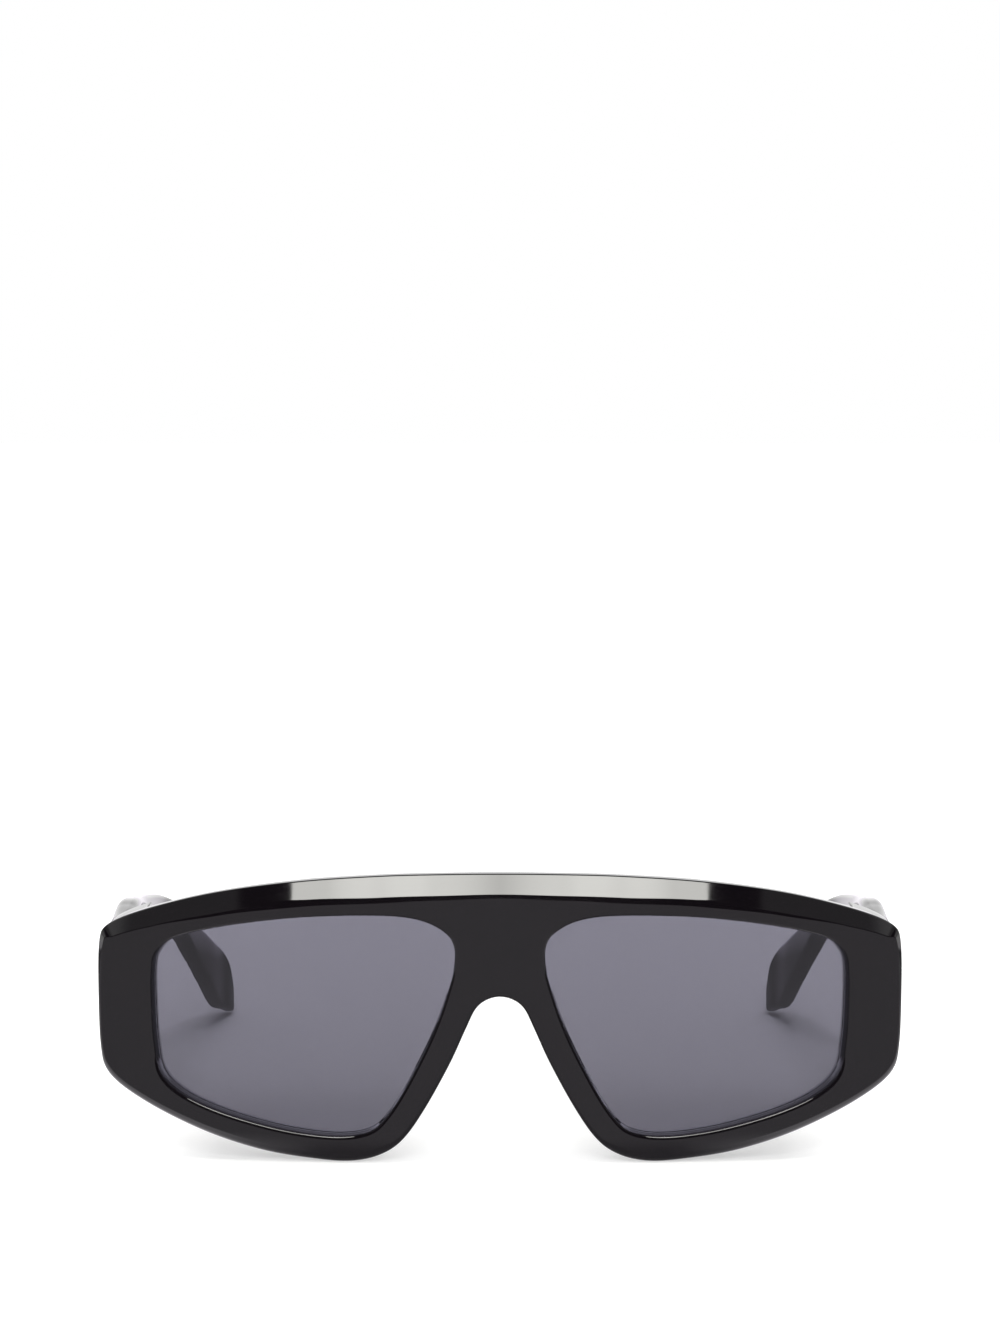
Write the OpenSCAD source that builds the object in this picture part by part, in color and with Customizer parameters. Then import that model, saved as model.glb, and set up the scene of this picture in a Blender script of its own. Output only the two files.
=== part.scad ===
// Mask sunglasses: a thick black acetate front with a bevelled brow, two tinted lenses
// and two temples on five-barrel hinges. They stand open on the rims and the temple tips.
// Millimetres, +Z up. The face looks along -Y and the temples run back along +Y.
// The wearer's left side is at +X.

/* [Front] */
// Width across the two ends of the front
front_w = 144.3; // [138:0.1:152]
// Height from the lowest point of the rims to the middle of the brow
front_h = 51.7; // [49:0.1:54]
// Thickness of the acetate, measured square to the face
front_t = 6.4; // [6:0.1:7.5]
// Radius of the curve that wraps the face round the brow
face_r = 400; // [300:10:600]
// Size of the bevel along the brow
brow_bevel = 4.5; // [2.5:0.1:4.8]
// Rounding along the sides and round the nose arch
edge_round = 0.8; // [0.3:0.1:1.2]
// Rounding along the lower rims
lower_round = 1.5; // [0.8:0.1:1.8]
// Rounding of the front edges of the lens openings
opening_round = 0.6; // [0.3:0.05:0.7]
// Rounding of the back edges of the lens openings
opening_back = 0.9; // [0.4:0.1:1]
// Rounding of the outer edges at the back
back_round = 0.7; // [0.3:0.1:1.2]

/* [Lenses] */
// Width of a lens opening along the face
lens_w = 54.6; // [52:0.1:56]
// Height of a lens opening
lens_h = 39.8; // [38:0.1:40.8]
// Distance between the two lens openings along the face
bridge_w = 16.2; // [15:0.1:18]
// Height of a lens opening's lowest point
opening_low = 4.7; // [4:0.1:5.5]
// Depth of the lens edge behind the face
lens_depth = 3; // [2.6:0.1:3.2]
// Thickness of a lens
lens_t = 2; // [1.6:0.1:2.2]
// Height of the pointed edge that holds a lens in its groove
lens_point = 0.9; // [0.5:0.1:1.1]
// Flat part of a lens's edge before and behind its point
lens_lip = 0.3; // [0.2:0.05:0.5]
// Clearance round the pointed edge in its groove
groove_gap = 0.04; // [0.02:0.01:0.08]

/* [Nose pads] */
// Length of a nose pad along the side of the nose
pad_len = 13; // [10:0.5:15]
// Width of a nose pad where it is glued on
pad_w = 4.2; // [3.5:0.1:4.6]
// Height of a nose pad behind the front
pad_rise = 4.6; // [3:0.1:6]
// Glue line under a nose pad
glue_gap = 0.03; // [0.02:0.01:0.06]

/* [Temples] */
// Length of a temple from the joint to its tip, measured straight back
temple_len = 130; // [122:1:136]
// Thickness of a temple at the joint
temple_t = 4; // [3.8:0.1:4.6]
// Height of a temple at the joint
temple_h = 10.8; // [9.5:0.1:11.2]
// Rounding of a temple's edges at the joint
temple_round = 1.4; // [0.8:0.1:1.6]
// Rise of a temple's upper edge over the upper corner of the front's end
temple_rise = 0.3; // [-0.5:0.1:1]
// Lean of a temple's tip towards the head
temple_lean = 10.5; // [8:0.5:13]
// Clearance between a temple's end and the front
joint_gap = 0.15; // [0.1:0.05:0.3]
// Depth of the end blocks behind the middle of the face
block_depth = 17.4; // [17:0.1:19]
// Thickness of the core wire
wire_t = 1.2; // [0.8:0.1:1.4]
// Height of the core wire
wire_h = 2.4; // [1.6:0.1:3]
// Chamfer along the core wire's edges
wire_chamfer = 0.3; // [0.1:0.1:0.4]
// Clearance round the core wire in its channel
wire_gap = 0.05; // [0.02:0.01:0.1]

/* [Hinges] */
// Radius of the barrels
barrel_r = 1.55; // [1.3:0.05:1.6]
// Height of the five barrels together
barrel_stack = 7.4; // [6:0.1:8]
// Gap between neighbouring barrels
barrel_gap = 0.08; // [0.05:0.01:0.12]
// Radius of the screw's shank
shank_r = 0.6; // [0.5:0.05:0.7]
// Radial clearance of the shank in its bore
shank_gap = 0.05; // [0.03:0.01:0.08]
// Radius of the screw's head
head_r = 1.15; // [0.9:0.05:1.3]
// Height of the screw's head
head_h = 0.6; // [0.4:0.1:0.9]
// Width of the slot in the screw's head
slot_w = 0.35; // [0.25:0.05:0.5]
// Depth of the slot in the screw's head
slot_depth = 0.25; // [0.15:0.05:0.35]
// Thickness of the leaves let into the acetate
leaf_t = 0.9; // [0.7:0.1:1.1]
// Length of the temple leaf behind the barrels
leaf_len = 9; // [7:0.5:12]
// Clearance of the barrels from the acetate beside them
barrel_clear = 0.2; // [0.15:0.05:0.3]
// Clearance round a leaf in its pocket
pocket_gap = 0.04; // [0.02:0.01:0.08]

/* [Hidden] */

// Shape of half the front's outline, from the middle of the brow round the end to the top
// of the nose arch. Along the face 0 to 1 is half the bridge, 1 to 2 the lens opening and
// 2 to 3 the end; upwards 0 to 1 is below the opening, 1 to 2 beside it and 2 to 3 above.
outline_shape = [
    [0, 3], [1.068, 2.978], [1.255, 2.926], [1.518, 2.78], [1.788, 2.481], [2.066, 2.067],
    [2.827, 1.939], [2.985, 1.868], [2.988, 1.601], [2.944, 1.385], [2.797, 1.261],
    [2.122, 1.137], [1.829, 1.013], [1.641, 0.436], [1.475, 0.097], [1.341, 0.01],
    [1.238, 0.296], [1.165, 0.947], [1.093, 1.138], [1.013, 1.34], [0.748, 1.493],
    [0.471, 1.599], [0, 1.638]
];
// Shape of a lens opening beside it, point for point: percent of its width from the nose
// side, percent of its height. The last point lies beside the bridge.
opening_shape = [
    [3, 92.4], [11.1, 98], [24.2, 100], [49.9, 98.9], [74.5, 94.6], [91.6, 89], [98.2, 82.3],
    [100, 74.3], [100, 57.6], [99.3, 41.4], [97.1, 26.9], [89.7, 17.4], [77, 9.8], [59.8, 3.4],
    [45.3, 0.3], [34.6, 0.1], [26.8, 3], [21.7, 10], [16.6, 20.9], [9.7, 39.1], [5.2, 53.3],
    [2.2, 65.4], [0.1, 76.3], [0.1, 86]
];
// The bevel's share of its full size at the first points of the outline
brow_share = [0.88, 0.94, 0.99, 0.94, 0.86, 0.7, 0.5];
// First and last points of the outline with the lower rounding
lower_points = [10, 16];
// First and last points of the outline that the end block continues, and its upper corner
block_points = [5, 9];
end_corner = 6;
// First and last points of the outline beside a nose pad
pad_points = [18, 20];

// Shape of a temple: percent of its length, percent of the fall of its upper edge, share of
// its full height, percent of its lean towards the head, share of its full thickness
temple_shape = [
    [0, 0, 1, 0, 1], [8, 0.4, 1, -1, 1], [16, 1.1, 0.97, -2.5, 1], [32, 8.9, 0.84, -8.5, 1],
    [50, 17.3, 0.66, 1.3, 0.97], [59, 27.4, 0.57, 31.2, 0.94], [68, 41.4, 0.7, 50, 0.9],
    [79, 56.1, 0.97, 68.4, 0.86], [90, 68, 1.19, 77.8, 0.8], [94.5, 78.3, 0.96, 89.5, 0.76],
    [98, 91.7, 0.64, 95, 0.66], [100, 100, 0.41, 100, 0.5]
];
rim_steps = 4;
temple_steps = 4;
fine = 48;
// Flat left between two edges that are rounded towards each other
least_flat = 0.3;
// Rounding that counts as a sharp edge
sharp_edge = 0.02;
// Length by which a cut reaches past the surface it opens
cut_over = 1;

// The parts are laid out from the middle of the face, then centred front to back
middle_y = (block_depth + joint_gap + temple_len) / 2;
module placed() {
    translate([0, -middle_y, 0])
        children();
}
module on_left() {
    placed() children();
}
module on_right() {
    placed() mirror([1, 0, 0]) children();
}

// The face and everything in it is laid out flat, along the arc of the face, and wrapped
function wrap(a, z, depth) = let (turn = a / face_r * 180 / PI)
    [(face_r - depth) * sin(turn), face_r - (face_r - depth) * cos(turn), z];
function arc_at(x, depth) = face_r * asin(x / (face_r - depth)) * PI / 180;
half_arc = arc_at(front_w / 2, edge_round);

// Smooth curve through four neighbouring points, from the second to the third
function blend(p, q, r, s, t) =
    (2 * q + (r - p) * t + (2 * p - 5 * q + 4 * r - s) * t * t
    + (3 * q - p - 3 * r + s) * t * t * t) / 2;
function smooth_loop(points, steps) = let (n = len(points)) [
    for (i = [0 : n - 1], j = [0 : steps - 1])
        blend(points[(i + n - 1) % n], points[i], points[(i + 1) % n], points[(i + 2) % n],
            j / steps)
];
function smooth_line(points, steps) = let (n = len(points)) [
    for (i = [1 : n - 3], j = [0 : (i == n - 3 ? steps : steps - 1)])
        blend(points[i - 1], points[i], points[i + 1], points[i + 2], j / steps)
];
function ramp(values, steps) = [
    for (i = [0 : len(values) - 2], j = [0 : (i == len(values) - 2 ? steps : steps - 1)])
        values[i] + (values[i + 1] - values[i]) * j / steps
];
function unit(v) = v / norm(v);
function left_of(v) = unit([-v.y, v.x]);
function across(p) = [-p.x, p.y];

function between(marks, u) = let (i = min(floor(u), len(marks) - 2))
    marks[i] + (marks[i + 1] - marks[i]) * (u - i);

// Outline of one half of the front, closed by the middle line between arch and brow
arc_marks = [0, bridge_w / 2, bridge_w / 2 + lens_w, half_arc];
height_marks = [0, opening_low, opening_low + lens_h, front_h];
outline_points = [for (p = outline_shape) [between(arc_marks, p.x), between(height_marks, p.y)]];
outline_last = len(outline_points) - 1;
outline_curve = smooth_line(concat([across(outline_points[1])], outline_points,
    [across(outline_points[outline_last - 1])]), rim_steps);
curve_last = len(outline_curve) - 1;
opening_points = [for (p = opening_shape)
    [bridge_w / 2 + p.x / 100 * lens_w, opening_low + p.y / 100 * lens_h]];
opening_curve = smooth_loop(opening_points, rim_steps);
rim_count = len(opening_curve);
arch_top = outline_points[outline_last].y;
middle_count = rim_count - curve_last - 1;
middle_low = arch_top + max(edge_round, back_round) + least_flat;
middle_high = front_h - brow_bevel - least_flat;
middle_line = [for (j = [0 : middle_count - 1])
    [0, middle_low + (middle_high - middle_low) * j / (middle_count - 1)]];
outline = concat(outline_curve, middle_line);

function on_curve(k) = k <= curve_last;
function outline_at(k) = k < 0 ? across(outline_curve[1])
    : k > curve_last ? across(outline_curve[curve_last - 1]) : outline_curve[k];
function outline_in(k) = on_curve(k) ? -left_of(outline_at(k + 1) - outline_at(k - 1)) : [1, 0];
function opening_out(k) = left_of(opening_curve[(k + 1) % rim_count]
    - opening_curve[(k + rim_count - 1) % rim_count]);

// Size and form of the front edge, and rounding of the back edge, along the outline
edge_sizes = ramp([for (i = [0 : outline_last])
    i < len(brow_share) ? max(edge_round, brow_share[i] * brow_bevel)
    : i >= lower_points[0] && i <= lower_points[1] ? lower_round : edge_round], rim_steps);
edge_bulges = ramp([for (i = [0 : outline_last]) i < len(brow_share) ? 0 : 1], rim_steps);
back_sizes = ramp([for (i = [0 : outline_last])
    i >= block_points[0] && i <= block_points[1] ? sharp_edge : back_round], rim_steps);

// Depths of the groove, which the lens edge shares
groove_front = lens_depth + lens_lip - groove_gap;
groove_back = lens_depth + lens_t - lens_lip + groove_gap;
groove_mid = lens_depth + lens_t / 2;
groove_reach = lens_point + groove_gap;

function corner(from, to, size, t) = let (turn = 90 * t)
    from * size * (1 - sin(turn)) + to * size * (1 - cos(turn));
// Section of the rim at step k as points of arc, height and depth, from the edge of the
// opening across the face, round the outline and back along the rear face to the groove
function rim_section(k) = let (
    o = opening_curve[k],
    w = opening_out(k),
    q = outline[k],
    n = outline_in(k),
    e = on_curve(k) ? edge_sizes[k] : 0,
    bulge = on_curve(k) ? edge_bulges[k] : 1,
    b = on_curve(k) ? back_sizes[k] : 0,
    f = opening_round,
    r = opening_back,
    face_mid = (o + w * f + q + n * e) / 2,
    rear_mid = (o + w * r + q + n * b) / 2
) [
    each [for (t = [1, 0.5, 0]) let (s = f * (1 - sin(90 * t)), d = f * (1 - cos(90 * t)))
        [o.x + w.x * s, o.y + w.y * s, d]],
    [face_mid.x, face_mid.y, 0],
    each [for (t = [0, 0.25, 0.5, 0.75, 1]) let (
        s = e * (bulge * (1 - sin(90 * t)) + (1 - bulge) * (1 - t)),
        d = e * (bulge * (1 - cos(90 * t)) + (1 - bulge) * t))
        [q.x + n.x * s, q.y + n.y * s, d]],
    each [for (t = [1, 0.5, 0]) let (s = b * (1 - sin(90 * t)), d = b * (1 - cos(90 * t)))
        [q.x + n.x * s, q.y + n.y * s, front_t - d]],
    [rear_mid.x, rear_mid.y, front_t],
    each [for (t = [0, 0.5, 1]) let (s = r * (1 - sin(90 * t)), d = r * (1 - cos(90 * t)))
        [o.x + w.x * s, o.y + w.y * s, front_t - d]],
    [o.x, o.y, groove_back],
    [o.x + w.x * groove_reach, o.y + w.y * groove_reach, groove_mid],
    [o.x, o.y, groove_front]
];

function distinct(tri, points) = norm(points[tri[0]] - points[tri[1]]) > 0.0001
    && norm(points[tri[1]] - points[tri[2]]) > 0.0001
    && norm(points[tri[2]] - points[tri[0]]) > 0.0001;
// Faces between sections that all have the same number of points
function band_faces(sections, size, closed) = [
    for (k = [0 : sections - (closed ? 1 : 2)], j = [0 : size - 1]) let (
        a = k * size + j,
        b = k * size + (j + 1) % size,
        c = ((k + 1) % sections) * size + (j + 1) % size,
        d = ((k + 1) % sections) * size + j
    ) each [[a, b, c], [a, c, d]]
];

module half_rim() {
    sections = [for (k = [0 : rim_count - 1]) rim_section(k)];
    points = [for (s = sections, p = s) wrap(p.x, p.y, p.z)];
    faces = [for (f = band_faces(rim_count, len(sections[0]), true)) if (distinct(f, points)) f];
    polyhedron(points, faces);
}

function nearest_nose(loop) = let (low = min([for (p = loop) p.x]))
    [for (k = [0 : len(loop) - 1]) if (loop[k].x == low) k][0];
function nearest_end(loop) = let (high = max([for (p = loop) p.x]))
    [for (k = [0 : len(loop) - 1]) if (loop[k].x == high) k][0];
function strips(loop, up, down, top_left, low_left) =
    let (n = len(loop), next_up = (up + 1) % n, next_down = (down + n - 1) % n)
    top_left == 0 && low_left == 0 ? []
    : low_left == 0 || (top_left > 0 && loop[next_up].x <= loop[next_down].x)
    ? concat([[up, next_up, down]], strips(loop, next_up, down, top_left - 1, low_left))
    : concat([[up, next_down, down]], strips(loop, up, next_down, top_left, low_left - 1));

// Body that fills the lens opening between rings, each a reach into the rim and a depth.
// Its front and back are cut into strips that run upright.
module opening_body(ring) {
    rings = [for (e = ring) [for (k = [0 : rim_count - 1])
        let (p = opening_curve[k] + opening_out(k) * e[0]) wrap(p.x, p.y, e[1])]];
    n = rim_count;
    start = nearest_nose(opening_curve);
    finish = nearest_end(opening_curve);
    over = (finish - start + n) % n;
    cap = [for (f = strips(opening_curve, start, start, over, n - over))
        if (f[0] != f[1] && f[1] != f[2] && f[2] != f[0]) f];
    last = (len(rings) - 1) * n;
    faces = concat(
        [for (f = band_faces(len(rings), n, false)) [f[0], f[2], f[1]]],
        cap,
        [for (f = cap) [f[0] + last, f[2] + last, f[1] + last]]
    );
    polyhedron([for (r = rings) each r], faces);
}

// The front's outline as its rear face shows it, seen square from the front
module rear_outline() {
    polygon([for (p = outline_curve) let (w = wrap(p.x, p.y, front_t)) [w.x, w.z]]);
}

// Joint: the temples stand against the end blocks and turn about an upright axis
joint_y = block_depth;
temple_top = outline_points[end_corner].y + temple_rise;
temple_out = (face_r - front_t) * sin(half_arc / face_r * 180 / PI);
temple_in = temple_out - temple_t;
axis_x = temple_in - barrel_clear - barrel_r;
axis_y = joint_y + barrel_clear + barrel_r;
hinge_z = temple_top - temple_h / 2;
hinge_low = hinge_z - barrel_stack / 2;
barrel_h = (barrel_stack - 4 * barrel_gap) / 5;
barrel_pitch = barrel_h + barrel_gap;
head_low = hinge_low + barrel_stack + shank_gap;
block_low = temple_top - temple_h;
leaf_margin = 0.7;
leaf_edge = 0.35;
block_in = axis_x - barrel_r - leaf_margin;

// The end blocks stay clear of the lenses and their grooves
room_ring = [
    [0, -cut_over], [0, groove_front], [groove_reach, groove_mid], [0, groove_back], [0, front_t]
];
module end_block() {
    difference() {
        intersection() {
            translate([0, joint_y, 0])
                rotate([90, 0, 0])
                    linear_extrude(joint_y)
                        rear_outline();
            translate([block_in, wrap(arc_at(block_in, front_t / 2), 0, front_t / 2).y, block_low])
                cube([front_w, front_w, front_h]);
        }
        opening_body(room_ring);
    }
}

module front_leaf(grow) {
    translate([axis_x - barrel_r - grow, joint_y - leaf_t - grow, hinge_low - grow])
        cube([2 * barrel_r + barrel_clear + 2 * grow, leaf_t + 2 * grow, barrel_stack + 2 * grow]);
}

module temple_leaf(grow) {
    translate([temple_in - grow, axis_y - barrel_r / 2 - grow, hinge_low + barrel_pitch - grow])
        cube([leaf_t + 2 * grow, leaf_len + 2 * grow, barrel_stack - 2 * barrel_pitch + 2 * grow]);
}

module half_front() {
    difference() {
        union() {
            half_rim();
            end_block();
        }
        front_leaf(pocket_gap);
    }
}

module front() {
    color("#17161a") {
        on_left() half_front();
        on_right() half_front();
    }
}

// Lens: a curved sheet with a pointed edge
lens_ring = [
    [-groove_gap, lens_depth], [-groove_gap, lens_depth + lens_lip],
    [lens_point, groove_mid], [-groove_gap, lens_depth + lens_t - lens_lip],
    [-groove_gap, lens_depth + lens_t]
];
module lens() {
    opening_body(lens_ring);
}

module left_lens() { color("#77757fa0") on_left() lens(); }
module right_lens() { color("#77757fa0") on_right() lens(); }

// Nose pad: a rounded wedge glued along the middle of the rim's rear face beside the nose
function rim_middle(i) = (outline_points[i] + opening_points[i]) / 2;
pad_profile = [[0, 1, 0], [0.35, 0.98, 0.1], [0.65, 0.86, 0.35], [0.87, 0.62, 0.6], [1, 0.22, 0.75]];
pad_sides = 24;

module nose_pad() {
    low = rim_middle(pad_points[0]);
    high = rim_middle(pad_points[1]);
    along = unit(high - low);
    side = [along.y, -along.x];
    centre = (low + high) / 2;
    points = [for (s = pad_profile, k = [0 : pad_sides - 1]) let (
        turn = 360 * k / pad_sides,
        reach = pad_w / 2 * s[1],
        straight = (pad_len - pad_w) / 2 * (0.4 + 0.6 * s[1]),
        u = (cos(turn) > 0.001 ? straight : cos(turn) < -0.001 ? -straight : 0) + reach * cos(turn),
        p = centre + along * u + side * (reach * sin(turn) + s[2])
    ) wrap(p.x, p.y, front_t + glue_gap + pad_rise * s[0])];
    last = (len(pad_profile) - 1) * pad_sides;
    polyhedron(points, concat(
        [for (f = band_faces(len(pad_profile), pad_sides, false)) [f[0], f[2], f[1]]],
        [[for (k = [0 : pad_sides - 1]) k], [for (k = [pad_sides - 1 : -1 : 0]) last + k]]
    ));
}

module left_nose_pad() { color("#1b1a1e") on_left() nose_pad(); }
module right_nose_pad() { color("#1b1a1e") on_right() nose_pad(); }

// Five-barrel hinge: three barrels on the front leaf, two on the temple leaf
module barrel(i) {
    translate([axis_x, axis_y, hinge_low + i * barrel_pitch])
        cylinder(h = barrel_h, r = barrel_r, $fn = fine);
}

module bore() {
    translate([axis_x, axis_y, hinge_low - cut_over])
        cylinder(h = barrel_stack + 2 * cut_over, r = shank_r + shank_gap, $fn = fine);
}

module front_hinge() {
    difference() {
        union() {
            front_leaf(0);
            for (i = [0, 2, 4]) {
                barrel(i);
                translate([axis_x - barrel_r, joint_y - leaf_t, hinge_low + i * barrel_pitch])
                    cube([2 * barrel_r - leaf_edge, axis_y - joint_y + leaf_t, barrel_h]);
            }
        }
        bore();
    }
}

module temple_hinge() {
    difference() {
        union() {
            temple_leaf(0);
            for (i = [1, 3]) {
                barrel(i);
                translate([axis_x, axis_y - barrel_r / 2, hinge_low + i * barrel_pitch])
                    cube([temple_in - axis_x + leaf_t, barrel_r * 1.5, barrel_h]);
            }
        }
        bore();
    }
}

module left_front_hinge() { color("#8f9196") on_left() front_hinge(); }
module right_front_hinge() { color("#8f9196") on_right() front_hinge(); }
module left_temple_hinge() { color("#8f9196") on_left() temple_hinge(); }
module right_temple_hinge() { color("#8f9196") on_right() temple_hinge(); }

module hinge_screw() {
    difference() {
        union() {
            translate([axis_x, axis_y, hinge_low])
                cylinder(h = barrel_stack + head_h / 2, r = shank_r, $fn = fine);
            translate([axis_x, axis_y, head_low])
                cylinder(h = head_h, r = head_r, $fn = fine);
        }
        translate([axis_x - slot_w / 2, axis_y - head_r, head_low + head_h - slot_depth])
            cube([slot_w, 2 * head_r, head_h]);
    }
}

module left_hinge_screw() { color("#b4b6ba") on_left() hinge_screw(); }
module right_hinge_screw() { color("#b4b6ba") on_right() hinge_screw(); }

// Temple: rounded sections along a curve that bends down and in behind the ear
temple_start = joint_y + joint_gap;
temple_mid = temple_out - temple_t / 2;
temple_rows = smooth_line(concat(
    [2 * temple_shape[0] - temple_shape[1]], temple_shape,
    [2 * temple_shape[len(temple_shape) - 1] - temple_shape[len(temple_shape) - 2]]), temple_steps);
// The fall at which the lowest row stands on the ground
temple_fall = min([for (s = temple_rows) if (s[1] > 50) (temple_top - temple_h * s[2]) / s[1] * 100]);
temple_sides = 16;

function temple_centre(s) = [
    temple_mid - s[3] / 100 * temple_lean,
    temple_start + s[0] / 100 * temple_len,
    temple_top - s[1] / 100 * temple_fall - temple_h * s[2] / 2
];
function round_section(k, w, h, r) = let (
    turn = 360 * (k + 0.5) / temple_sides,
    cx = (w / 2 - r) * (cos(turn) > 0 ? 1 : -1),
    cz = (h / 2 - r) * (sin(turn) > 0 ? 1 : -1)
) [cx + r * cos(turn), cz + r * sin(turn)];

module temple_body() {
    points = [for (s = temple_rows, k = [0 : temple_sides - 1]) let (
        p = round_section(k, temple_t * s[4], temple_h * s[2], temple_round * s[4]),
        c = temple_centre(s)
    ) [c.x + p.x, c.y, c.z + p.y]];
    last = (len(temple_rows) - 1) * temple_sides;
    polyhedron(points, concat(
        band_faces(len(temple_rows), temple_sides, false),
        [[for (k = [temple_sides - 1 : -1 : 0]) k], [for (k = [0 : temple_sides - 1]) last + k]]
    ));
}

wire_rows = [for (s = temple_rows) if (s[0] > 14 && s[0] < 92) s];
module wire_body(grow) {
    w = wire_t + 2 * grow;
    h = wire_h + 2 * grow;
    in_x = w / 2 - wire_chamfer;
    in_z = h / 2 - wire_chamfer;
    profile = [
        [w / 2, -in_z], [w / 2, in_z], [in_x, h / 2], [-in_x, h / 2],
        [-w / 2, in_z], [-w / 2, -in_z], [-in_x, -h / 2], [in_x, -h / 2]
    ];
    last_row = len(wire_rows) - 1;
    sides = len(profile);
    points = [for (i = [0 : last_row], p = profile) let (
        c = temple_centre(wire_rows[i]),
        longer = i == 0 ? -grow : i == last_row ? grow : 0
    ) [c.x + p.x, c.y + longer, c.z + p.y]];
    polyhedron(points, concat(
        band_faces(last_row + 1, sides, false),
        [[for (k = [sides - 1 : -1 : 0]) k], [for (k = [0 : sides - 1]) last_row * sides + k]]
    ));
}

module temple() {
    difference() {
        temple_body();
        temple_leaf(pocket_gap);
        wire_body(wire_gap);
    }
}

module left_temple() { color("#17161a") on_left() temple(); }
module right_temple() { color("#17161a") on_right() temple(); }
module left_core_wire() { color("#a9abb0") on_left() wire_body(0); }
module right_core_wire() { color("#a9abb0") on_right() wire_body(0); }

front();
left_lens();
right_lens();
left_nose_pad();
right_nose_pad();
left_front_hinge();
right_front_hinge();
left_hinge_screw();
right_hinge_screw();
left_temple();
right_temple();
left_temple_hinge();
right_temple_hinge();
left_core_wire();
right_core_wire();
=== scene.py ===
"""Mask sunglasses: a bevelled black acetate front, tinted lenses and hinged temples.

Metres, in the frame of the CAD model: the face looks along -Y, up is +Z, and the
wearer's left side is at +X. Pieces are shaped in millimetres, laid out from the middle
of the face, and then set in place.
"""

import math

import bmesh
import bpy
from mathutils import Matrix, Vector


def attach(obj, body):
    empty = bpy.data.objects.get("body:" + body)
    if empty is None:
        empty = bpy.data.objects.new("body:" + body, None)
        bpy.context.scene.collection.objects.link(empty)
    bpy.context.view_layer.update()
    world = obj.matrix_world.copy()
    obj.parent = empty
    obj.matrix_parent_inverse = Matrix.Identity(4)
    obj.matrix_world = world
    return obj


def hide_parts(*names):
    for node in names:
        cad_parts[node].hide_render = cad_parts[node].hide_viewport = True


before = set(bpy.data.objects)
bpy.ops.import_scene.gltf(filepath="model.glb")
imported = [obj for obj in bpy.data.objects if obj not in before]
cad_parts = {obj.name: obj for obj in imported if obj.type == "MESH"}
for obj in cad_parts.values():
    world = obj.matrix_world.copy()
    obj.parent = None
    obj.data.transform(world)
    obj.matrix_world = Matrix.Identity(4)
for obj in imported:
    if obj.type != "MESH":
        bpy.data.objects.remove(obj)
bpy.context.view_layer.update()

# Front. One piece of black cellulose acetate, cut from 8 mm sheet, bent round the brow
# and milled: a broad bevel along the brow, rounded lower rims, a groove for each lens and
# an end block on each side for the hinge. It is tumbled and buffed to a wet gloss.
FACE_RADIUS = 400.0
FRONT_THICK = 6.4
MIDDLE = 73.775  # from the middle of the face to the middle of the whole object
JOINT = 17.4  # depth of the joint between the front and the temples
BROW_BEVEL = [3.96, 4.23, 4.455, 4.23, 3.87, 3.15, 2.5, 1.2]
SIDE_ROUND = 0.8
LOWER_ROUND = 1.5
OPENING_ROUND = 0.6
OPENING_BACK = 0.9
BACK_ROUND = 0.7
BEVEL_FILLET = 0.7
BEVEL_SOFT = [1.1, 1.3, 1.6, 1.9, 0.8, 0.25, 0.25, 0.25]  # radius where bevel meets face
CORNER = [5, (69.45, 40.0), (71.45, 38.6), 8]  # the bevel's foot turns here, points 5 to 8
GROOVE = [3.26, 4.0, 4.74]  # depths of its front edge, its bottom and its back edge
GROOVE_REACH = 0.94
BLOCK_IN = 63.138
BLOCK_LOW = 31.572
OUTLINE = [
    (0, 51.7), (11.81, 51.54), (22.02, 51.17), (36.38, 50.12), (51.12, 47.96), (63.36, 44.98),
    (70.97, 42.07), (72.57, 39.25), (72.6, 28.62), (72.25, 19.9), (70.85, 14.87),
    (64.06, 9.93), (53.46, 4.98), (43.16, 1.85), (34.04, 0.46), (26.72, 0.05), (21.09, 1.39),
    (17.11, 4.45), (13.18, 10.19), (8.81, 18.23), (6.06, 24.32), (3.82, 28.54), (0, 30.09),
]  # half of it: along the face, height
OPENING = [
    (9.74, 41.48), (14.16, 43.7), (21.31, 44.5), (35.35, 44.06), (48.78, 42.35),
    (58.11, 40.12), (61.72, 37.46), (62.7, 34.27), (62.7, 27.62), (62.32, 21.18),
    (61.12, 15.41), (57.08, 11.63), (50.14, 8.6), (40.75, 6.05), (32.83, 4.82), (26.99, 4.74),
    (22.73, 5.89), (19.95, 8.68), (17.16, 13.02), (13.4, 20.26), (10.94, 25.91), (9.3, 30.73),
    (8.15, 35.07), (8.15, 38.93),
]  # beside the outline, point for point
STEPS = 14  # between two points of an outline
OUTLINE_EVENED = 0.8  # reach over which buffing evens out the bends of the outline
OPENING_EVENED = 0.5
ARC_POINTS = 6  # of each small rounding
EDGE_POINTS = 16  # of the front edge, from the face to the wall
OPENING_STRAIGHT = 1.6  # depth down to which the opening's wall is one face
MIDDLE_INSET = (1.1, 0.6)  # of the seam in the middle, from the nose arch and the bevel
BLOCK_TURN = 5  # above the end block's lower edge, where its footprint turns outwards
BLOCK_EASE = 2.5  # how fast the rear rounding returns beside the block
BLOCK_EDGE = 0.25
BLOCK_SHARP = 50  # degrees from which an edge of the block is broken
MERGED = 0.002  # points closer than this become one
CRISP = 25  # degrees from which an edge stays crisp on a piece with plain shading
# Shares of the way at which rows of faces meet, closer beside a rounding to hold it.
BEVEL_ROWS = (0.02, 0.34, 0.66, 0.98)
FACE_ROWS = (0.04, 0.28, 0.52, 0.76, 0.96)
REAR_ROWS = (0.35, 0.7, 0.96)
REAR_HOLD = 0.08
REAR_MIDDLE = 0.4  # where the rear face's inner rows begin away from the block


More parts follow.
